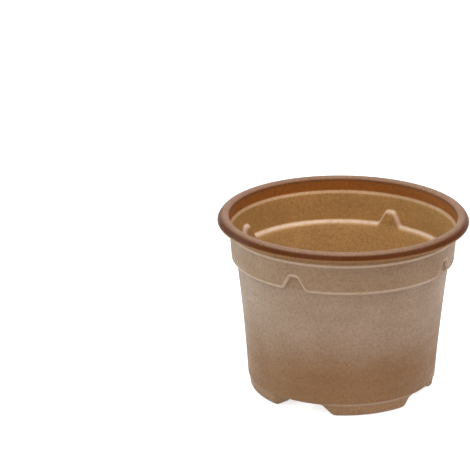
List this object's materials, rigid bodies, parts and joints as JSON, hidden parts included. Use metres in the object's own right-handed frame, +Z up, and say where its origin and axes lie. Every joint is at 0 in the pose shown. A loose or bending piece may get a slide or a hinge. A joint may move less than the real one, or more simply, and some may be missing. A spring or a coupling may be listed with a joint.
{
  "type": "plant pot",
  "caption": "Round tapered nursery pot in thin formed fibre-look material, with a rolled rim, stacking lugs, a raised drained floor and hollow feet.",
  "frame": {"origin": "on the ground under the pot's axis, at the centre of its circle of feet", "axes": "+Z up along the pot's axis of symmetry, -Y towards the side that the picture shows, +X to the right of it"},
  "size_m": [0.105, 0.105, 0.0762],
  "materials": {
    "formed_fibre": "matte taupe-brown formed shell with a fine fibrous grain, satin on the rolled rim, more golden inside"
  },
  "bodies": {
    "root": {"pot": "formed_fibre"}
  },
  "joints": []
}
